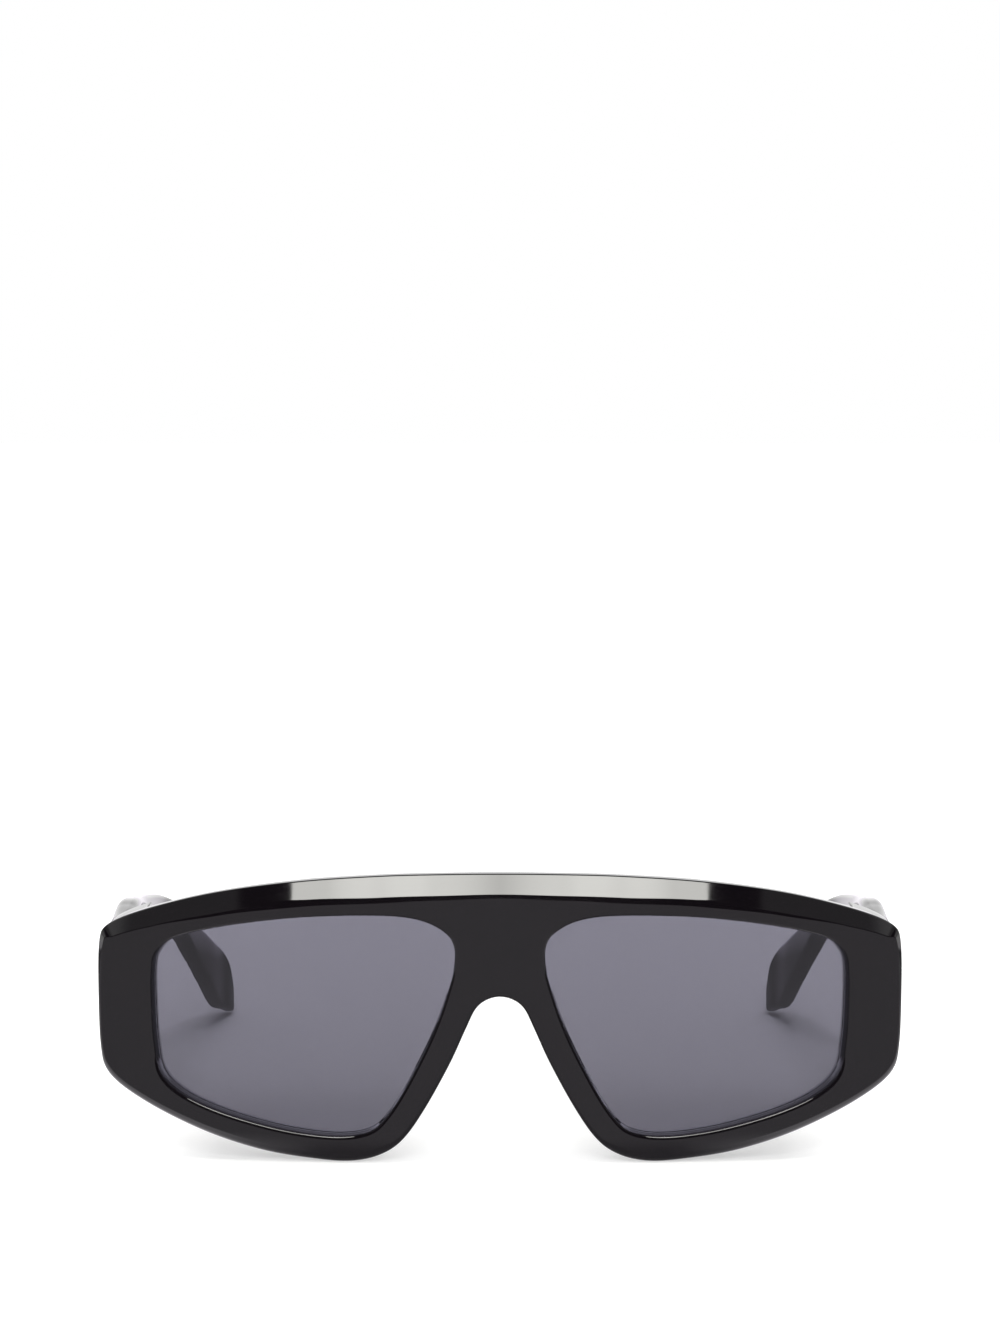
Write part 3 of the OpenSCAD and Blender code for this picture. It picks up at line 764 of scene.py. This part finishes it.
screw_bm = bmesh.new()
head = bmesh.ops.create_cone(
    screw_bm, cap_ends=True, segments=HEAD_SIDES, radius1=HEAD_RADIUS, radius2=HEAD_RADIUS,
    depth=HEAD_TALL - SLOT_DEEP,
)["verts"]
bmesh.ops.translate(screw_bm, vec=(0, 0, (HEAD_TALL - SLOT_DEEP) / 2), verts=head)
for edge in (-SLOT_WIDE / 2, SLOT_WIDE / 2):
    parts = screw_bm.verts[:] + screw_bm.edges[:] + screw_bm.faces[:]
    bmesh.ops.bisect_plane(
        screw_bm, geom=parts, dist=0.0001, plane_co=(edge, 0, 0), plane_no=(1, 0, 0)
    )
cheeks = [
    f for f in screw_bm.faces
    if f.normal.z > 0.9 and abs(f.calc_center_median().x) > SLOT_WIDE / 2
]
drawn = bmesh.ops.extrude_face_region(screw_bm, geom=cheeks)["geom"]
raised = [g for g in drawn if isinstance(g, bmesh.types.BMVert)]
bmesh.ops.translate(screw_bm, vec=(0, 0, SLOT_DEEP), verts=raised)
broken_edges(screw_bm, SCREW_EDGE)
shank = bmesh.ops.create_cone(
    screw_bm, cap_ends=True, segments=SHANK_SIDES, radius1=SHANK_RADIUS, radius2=SHANK_RADIUS,
    depth=STACK + HEAD_TALL / 2,
)["verts"]
bmesh.ops.translate(screw_bm, vec=(0, 0, (HEAD_TALL / 2 - STACK) / 2), verts=shank)
bmesh.ops.translate(screw_bm, vec=(*AXIS, HINGE_LOW + STACK + HEAD_CLEAR), verts=screw_bm.verts)

# Turned stainless steel: cool, brighter than the hinge, with the tool's rings 0.06 mm
# apart along the axis, drawn coarser than they are so that they show.
RING_APART = 0.06
RING_DEEP = 0.003
steel = new_material("turned_stainless_steel")
place = node(steel, "ShaderNodeTexCoord").outputs["Object"]
drawn_out = node(steel, "ShaderNodeMapping", {"Vector": place, "Scale": (0.03, 0.03, 1)})
spread = node(
    steel, "ShaderNodeTexNoise", {"Vector": drawn_out, "Scale": 1000 / RING_APART, "Detail": 2}
)
turning = node(
    steel, "ShaderNodeMapRange", {"Value": spread, "To Min": 0.16, "To Max": 0.3}
)
tone = node(
    steel, "ShaderNodeMix",
    {"Factor": spread, "A": linear("#b9bcc0"), "B": linear("#d3d5d8")}, data_type="RGBA",
)
rings_cut = node(steel, "ShaderNodeBump", {"Height": spread, "Distance": RING_DEEP / 1000})
surface = node(
    steel, "ShaderNodeBsdfPrincipled",
    {"Base Color": tone, "Metallic": 1.0, "Roughness": turning, "Normal": rings_cut},
)
node(steel, "ShaderNodeOutputMaterial", {"Surface": surface})

for side, shape in (("left", screw_bm.copy()), ("right", mirrored(screw_bm))):
    screw = finish_piece(shape, f"{side}_screw_slotted", "front_frame", steel)
    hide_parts(f"{side}_hinge_screw")
screw_bm.free()

# Core wires. Flat drawn wires of the same stainless steel, shot hot into the temples to
# stiffen them. The black acetate hides them, so the CAD solids stay and get their metal.
for side in ("left", "right"):
    bpy.data.objects[f"{side}_core_wire"].data.materials[0] = steel

# Studio. A white table under a wide overhead softbox with soft light from the front, dim
# cards at both sides and a bright strip of wall low behind the object. The camera stands
# 0.65 m in front of the face, looks down on it by five degrees and has a 100 mm lens.
# Black gloss shows only what it mirrors, so each has a level of its own in the mirror.
SOFTBOX = (0.283, 0.17)  # half its width and half its depth
SOFTBOX_AT = (0, -0.19, 0.85)
SOFTBOX_CORNER = (0.03, 0.15)  # how far its rounded corners reach along either side
SOFTBOX_LEVEL = (7.4, 15.3)  # as a light, and in the mirror
FRONT_LIGHT = 15.0
FILL_LIGHT = 0.3
CARD_LEVEL = 0.24
DARK_LEVEL = 0.01  # of the rest of the room, in the mirror
TABLE_FRONT = 0.62  # its level in front of the object, in the mirror
TABLE_LOW = -0.00005  # a hair below the pieces that stand on it
TABLE_WIDE = 8
CAMERA_AT = (0, -0.723775, 0.148655)
CAMERA_LENS = 100
CAMERA_DOWN = 5.2453  # degrees


def in_sight(owner):
    """1 for what the camera sees, straight or through a lens, and 0 for reflections."""
    way = node(owner, "ShaderNodeLightPath").outputs
    unreflected = node(
        owner, "ShaderNodeMath", {0: way["Glossy Depth"], 1: 0.5}, operation="LESS_THAN"
    )
    through = node(
        owner, "ShaderNodeMath", {0: way["Is Transmission Ray"], 1: unreflected},
        operation="MULTIPLY",
    )
    return node(
        owner, "ShaderNodeMath", {0: way["Is Camera Ray"], 1: through}, operation="MAXIMUM"
    )


# White matt paint. What the pieces mirror of it is not the lit paint but a glow painted by
# place: even in front of the object, painted light below the outer rims, painted shade below the
# nose and temples, and bright again far behind.
bpy.ops.mesh.primitive_plane_add(size=TABLE_WIDE, location=(0, 0, TABLE_LOW))
table = bpy.context.object
table.name = "table"
white = new_material("white_table")
spot = node(white, "ShaderNodeTexCoord").outputs["Object"]
place = node(white, "ShaderNodeSeparateXYZ", {"Vector": spot}).outputs
aside = node(white, "ShaderNodeMath", {0: place["X"]}, operation="ABSOLUTE")
depth = node(white, "ShaderNodeMath", {0: place["Y"], 1: 0.5}, operation="ADD")
in_front = node(white, "ShaderNodeValToRGB", {"Fac": depth}, stops=[(0.408, 1), (0.418, 0)])
front_tone = node(
    white, "ShaderNodeMath", {0: in_front, 1: TABLE_FRONT}, operation="MULTIPLY"
)
under = node(
    white, "ShaderNodeValToRGB", {"Fac": depth},
    stops=[(0.408, 0), (0.418, 1), (0.45, 1), (0.49, 0)],
)
# Painted light and shade in the mirror, below the front: dim near the middle, below the nose,
# and bright below the outer rims.
rims = node(white, "ShaderNodeValToRGB", {"Fac": aside}, stops=[(0.034, 0.35), (0.056, 1.9)])
under_tone = node(white, "ShaderNodeMath", {0: under, 1: rims}, operation="MULTIPLY")
near_tone = node(white, "ShaderNodeMath", {0: front_tone, 1: under_tone}, operation="ADD")
# Painted shade in the mirror: dim below the temples, then bright far behind.
by_depth = node(
    white, "ShaderNodeValToRGB", {"Fac": depth},
    stops=[(0.49, 0.19), (0.64, 0.19), (0.7, 1.22)],
)
past_front = node(white, "ShaderNodeMath", {0: 1.0, 1: in_front}, operation="SUBTRACT")
far_tone = node(white, "ShaderNodeMath", {0: by_depth, 1: past_front}, operation="MULTIPLY")
painted_mirror_glow = node(white, "ShaderNodeMath", {0: near_tone, 1: far_tone}, operation="MAXIMUM")
in_mirror = node(
    white, "ShaderNodeEmission", {"Color": (1, 0.97, 1.02, 1), "Strength": painted_mirror_glow}
)

# To the camera the paint is a mid grey that takes the object's shadow, with the rest of its
# white added as a glow. Straight to the camera the glow is painted light set by how far aside:
# stronger in the middle and beside the ends, where it washes out the object's shadow, and weaker
# where the shadows of both rims lie. Through the lenses it starts only behind the object.
direct = node(white, "ShaderNodeLightPath").outputs["Is Camera Ray"]
paint_tone = node(
    white, "ShaderNodeMix",
    {"Factor": direct, "A": (0.9, 0.9, 0.9, 1), "B": (0.5, 0.5, 0.5, 1)}, data_type="RGBA",
)
paint = node(white, "ShaderNodeBsdfDiffuse", {"Color": paint_tone})
distance = node(white, "ShaderNodeVectorMath", {"Vector": spot}, operation="LENGTH")
lift = node(
    white, "ShaderNodeMapRange",
    {"Value": distance, "From Min": 0.06, "From Max": 0.6, "To Min": 0.0, "To Max": 0.45},
)
# Painted light: a stronger glow in the middle and beside the ends washes out the object's shadow
# there, and a weaker one lets the shadows of both rims show.
clear = node(
    white, "ShaderNodeValToRGB", {"Fac": aside},
    stops=[(0, 0.72), (0.018, 0.64), (0.028, 0.48), (0.05, 0.48), (0.064, 0.8), (1, 0.8)],
)
clear_lift = node(white, "ShaderNodeMath", {0: clear, 1: lift}, operation="ADD")
seen_lift = node(white, "ShaderNodeMix", {"Factor": direct, "A": lift, "B": clear_lift})
seen = in_sight(white)
glow_level = node(white, "ShaderNodeMath", {0: seen_lift, 1: seen}, operation="MULTIPLY")
glow = node(white, "ShaderNodeEmission", {"Color": (1, 1, 1, 1), "Strength": glow_level})
lit_paint = node(white, "ShaderNodeAddShader", {0: paint, 1: glow})
glossy = node(white, "ShaderNodeLightPath").outputs["Is Glossy Ray"]
unseen = node(white, "ShaderNodeMath", {0: 1.0, 1: seen}, operation="SUBTRACT")
reflected = node(white, "ShaderNodeMath", {0: glossy, 1: unseen}, operation="MULTIPLY")
either = node(white, "ShaderNodeMixShader", {"Fac": reflected, 1: lit_paint, 2: in_mirror})
node(white, "ShaderNodeOutputMaterial", {"Surface": either})
table.data.materials.append(white)

# Softbox. White diffuser cloth over lamps, with rounded corners, a little brighter
# halfway out than in the middle, where no lamp stands.
bpy.ops.mesh.primitive_plane_add(size=2, location=SOFTBOX_AT, rotation=(math.pi, 0, 0))
softbox = bpy.context.object
softbox.name = "softbox"
softbox.scale = (*SOFTBOX, 1)
diffuser = new_material("softbox_diffuser")
spot = node(diffuser, "ShaderNodeTexCoord").outputs["Object"]
place = node(diffuser, "ShaderNodeSeparateXYZ", {"Vector": spot}).outputs
sideways, lengthways = (
    node(diffuser, "ShaderNodeMath", {0: place[axis]}, operation="ABSOLUTE") for axis in "XY"
)
corner_x, corner_y = (
    node(
        diffuser, "ShaderNodeMapRange",
        {"Value": value, "From Min": 1 - corner / half, "From Max": 1.0},
    )
    for value, half, corner in zip((sideways, lengthways), SOFTBOX, SOFTBOX_CORNER)
)
in_corner = node(diffuser, "ShaderNodeCombineXYZ", {"X": corner_x, "Y": corner_y})
past = node(diffuser, "ShaderNodeVectorMath", {"Vector": in_corner}, operation="LENGTH")
inside = node(
    diffuser, "ShaderNodeMapRange",
    {"Value": past, "From Min": 0.9, "From Max": 1.0, "To Min": 1.0, "To Max": 0.0},
)
lamps = node(
    diffuser, "ShaderNodeValToRGB", {"Fac": sideways},
    stops=[
        (0, 0.7), (0.08, 0.75), (0.22, 0.88), (0.35, 1.0), (0.48, 1.0), (0.56, 0.91),
        (0.64, 0.8), (1, 0.79),
    ],
)
cloth = node(diffuser, "ShaderNodeMath", {0: inside, 1: lamps}, operation="MULTIPLY")
glossy = node(diffuser, "ShaderNodeLightPath").outputs["Is Glossy Ray"]
level = node(
    diffuser, "ShaderNodeMix",
    {"Factor": glossy, "A": SOFTBOX_LEVEL[0], "B": SOFTBOX_LEVEL[1]},
)
strength = node(diffuser, "ShaderNodeMath", {0: cloth, 1: level}, operation="MULTIPLY")
lit = node(diffuser, "ShaderNodeEmission", {"Color": (1, 0.995, 0.95, 1), "Strength": strength})
node(diffuser, "ShaderNodeOutputMaterial", {"Surface": lit})
softbox.data.materials.append(diffuser)

# Room. White to the camera. As a light it is a soft narrow card behind the camera with a
# little fill. In the mirror it has the wall behind the object and the card at either side.
world = bpy.data.worlds.new("studio")
bpy.context.scene.world = world
world.use_nodes = True
world.node_tree.nodes.clear()
toward = node(world, "ShaderNodeTexCoord").outputs["Generated"]
axes = node(world, "ShaderNodeSeparateXYZ", {"Vector": toward}).outputs
aside = node(world, "ShaderNodeMath", {0: axes["X"]}, operation="ABSOLUTE")
ahead = node(
    world, "ShaderNodeMapRange",
    {"Value": axes["Y"], "From Min": -0.5, "From Max": -0.75, "To Min": 0.0,
     "To Max": FRONT_LIGHT},
    interpolation_type="SMOOTHSTEP",
)
narrow = node(
    world, "ShaderNodeMapRange",
    {"Value": aside, "From Min": 0.05, "From Max": 0.2, "To Min": 1.0, "To Max": 0.0},
    interpolation_type="SMOOTHSTEP",
)
front_card = node(world, "ShaderNodeMath", {0: ahead, 1: narrow}, operation="MULTIPLY")
as_light = node(world, "ShaderNodeMath", {0: front_card, 1: FILL_LIGHT}, operation="ADD")
wall = node(
    world, "ShaderNodeValToRGB", {"Fac": axes["Z"]},
    stops=[(0, 1.33), (0.2, 1.22), (0.28, 0.5), (0.5, 0.8), (0.8, 0.8), (0.9, 0.0)],
)
behind = node(
    world, "ShaderNodeMapRange",
    {"Value": axes["Y"], "From Min": -0.1, "From Max": 0.15, "To Min": 0.0, "To Max": 1.0},
    interpolation_type="SMOOTHSTEP",
)
walls = node(world, "ShaderNodeMath", {0: wall, 1: behind}, operation="MULTIPLY")
height = node(world, "ShaderNodeMath", {0: axes["Z"], 1: 0.05}, operation="MAXIMUM")
slope = node(world, "ShaderNodeMath", {0: aside, 1: height}, operation="DIVIDE")
side_card = node(
    world, "ShaderNodeMapRange",
    {"Value": slope, "From Min": 0.408, "From Max": 0.42, "To Min": 0.0,
     "To Max": CARD_LEVEL},
)
card_end = node(
    world, "ShaderNodeMapRange",
    {"Value": axes["Y"], "From Min": -0.3, "From Max": -0.2, "To Min": 0.0, "To Max": 1.0},
)
cards = node(world, "ShaderNodeMath", {0: side_card, 1: card_end}, operation="MULTIPLY")
bright = node(world, "ShaderNodeMath", {0: cards, 1: walls}, operation="MAXIMUM")
in_mirror = node(world, "ShaderNodeMath", {0: bright, 1: DARK_LEVEL}, operation="ADD")
glossy = node(world, "ShaderNodeLightPath").outputs["Is Glossy Ray"]
unseen = node(world, "ShaderNodeMix", {"Factor": glossy, "A": as_light, "B": in_mirror})
strength = node(world, "ShaderNodeMix", {"Factor": in_sight(world), "A": unseen, "B": 1.0})
sky = node(world, "ShaderNodeBackground", {"Color": (1, 1, 1, 1), "Strength": strength})
node(world, "ShaderNodeOutputWorld", {"Surface": sky})

camera = bpy.data.objects.new("camera", bpy.data.cameras.new("camera"))
camera.data.lens = CAMERA_LENS
camera.location = CAMERA_AT
camera.rotation_euler = (math.radians(90 - CAMERA_DOWN), 0, 0)
bpy.context.scene.collection.objects.link(camera)
bpy.context.scene.camera = camera
bpy.context.scene.view_settings.view_transform = "Standard"
